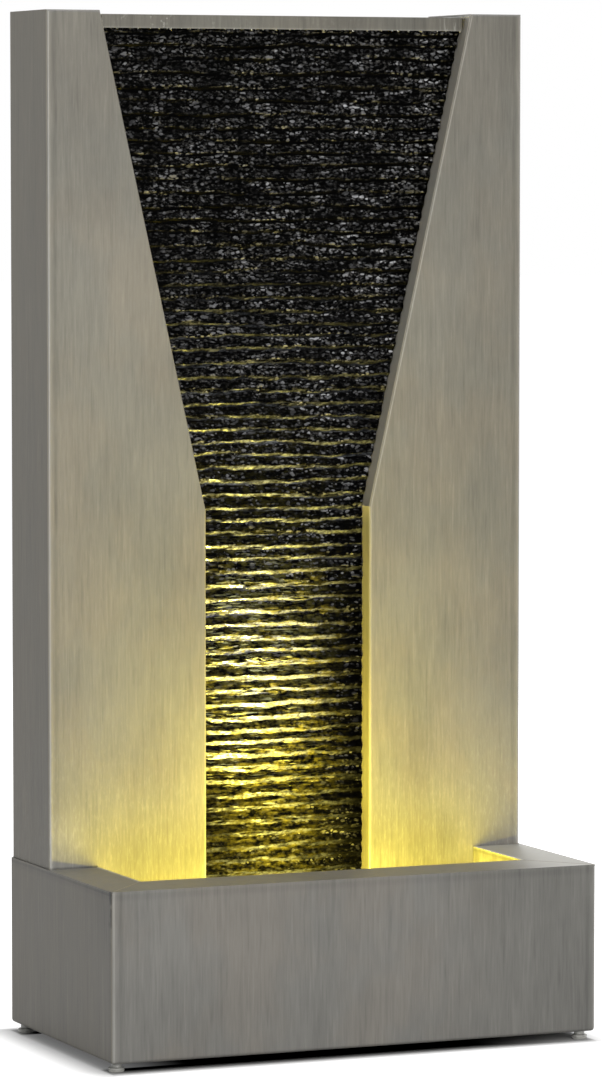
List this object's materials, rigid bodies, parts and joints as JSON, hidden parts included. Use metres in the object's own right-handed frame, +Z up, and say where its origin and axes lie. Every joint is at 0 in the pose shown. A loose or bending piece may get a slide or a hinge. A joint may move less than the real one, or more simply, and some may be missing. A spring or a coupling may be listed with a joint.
{
  "type": "garden wall fountain",
  "caption": "Sheet-metal water wall: a tapering ridged cascade framed by side casings over an open basin, with pump, riser hose, header trough and tilting spotlight.",
  "frame": {"origin": "on the ground, centred under the basin", "axes": "+X to the viewer's right, +Y to the back, +Z up; the front faces -Y"},
  "size_m": [0.5, 0.275, 0.991],
  "materials": {
    "brushed_sheet": "vertically brushed, warm mid grey",
    "plain_sheet": "satin, unbrushed back sheet",
    "black_resin": "glossy black, wet",
    "black_plastic": "fine matt black",
    "foam_seal": "closed-cell foam",
    "foot_plastic": "pale grey glide",
    "screw_steel": "bright zinc",
    "rubber_black": "soft black rubber",
    "hose_vinyl": "dark smoke-grey vinyl",
    "ceramic_white": "polished ceramic",
    "magnet_dark": "moulded ferrite",
    "pump_grey": "moulded grey impeller",
    "lamp_metal": "anodised",
    "lamp_glass": "clear toughened lens",
    "lamp_board": "warm white emitters on a white board"
  },
  "bodies": {
    "fountain": {"basin_shell": "brushed_sheet", "left_casing": "brushed_sheet", "right_casing": "brushed_sheet", "back_panel": "plain_sheet", "service_cover": "plain_sheet", "header_trough": "plain_sheet", "trough_ledge": "plain_sheet", "panel_support": "plain_sheet", "upper_batten": "plain_sheet", "middle_batten": "plain_sheet", "lower_batten": "plain_sheet", "water_wall": "black_resin", "left_panel_seal": "foam_seal", "right_panel_seal": "foam_seal", "front_left_foot": "foot_plastic", "front_right_foot": "foot_plastic", "back_left_foot": "foot_plastic", "back_right_foot": "foot_plastic", "back_panel_screws": "screw_steel", "service_cover_screws": "screw_steel", "hose_clamps": "screw_steel", "lead_grommet": "rubber_black", "pump_suckers": "rubber_black", "trough_inlet": "black_plastic", "inlet_nut": "black_plastic", "middle_hose_clip": "black_plastic", "lower_hose_clip": "black_plastic", "pump_motor_block": "black_plastic", "volute_cover": "black_plastic", "pump_shaft": "ceramic_white", "riser_hose": "hose_vinyl", "spot_stand": "lamp_metal"},
    "cover": {"top_cover": "brushed_sheet"},
    "pump_rotating_group": {"pump_rotor": "magnet_dark", "impeller": "pump_grey"},
    "strainer": {"strainer_cover": "black_plastic"},
    "regulator": {"flow_regulator": "pump_grey"},
    "spot_head": {"spot_housing": "lamp_metal", "spot_bezel": "lamp_metal", "spot_lens": "lamp_glass", "led_module": "lamp_board", "spot_pivot_screws": "screw_steel"}
  },
  "joints": [
    {"name": "top_cover_lift", "type": "slide", "parent": "fountain", "child": "cover", "axis": [0, 0, 1], "range_m": [0, 0.08]},
    {"name": "pump_rotor_spin", "type": "hinge", "parent": "fountain", "child": "pump_rotating_group", "pos_m": [-0.007, 0.0994, 0.0462], "axis": [1, 0, 0], "continuous": true},
    {"name": "strainer_pull", "type": "slide", "parent": "fountain", "child": "strainer", "axis": [1, 0, 0], "range_m": [0, 0.04]},
    {"name": "regulator_turn", "type": "hinge", "parent": "strainer", "child": "regulator", "pos_m": [-0.007, 0.0994, 0.0462], "axis": [1, 0, 0], "range_deg": [0, 90]},
    {"name": "spot_tilt", "type": "hinge", "parent": "fountain", "child": "spot_head", "pos_m": [0, -0.0276, 0.117], "axis": [1, 0, 0], "range_deg": [-30, 60]}
  ]
}
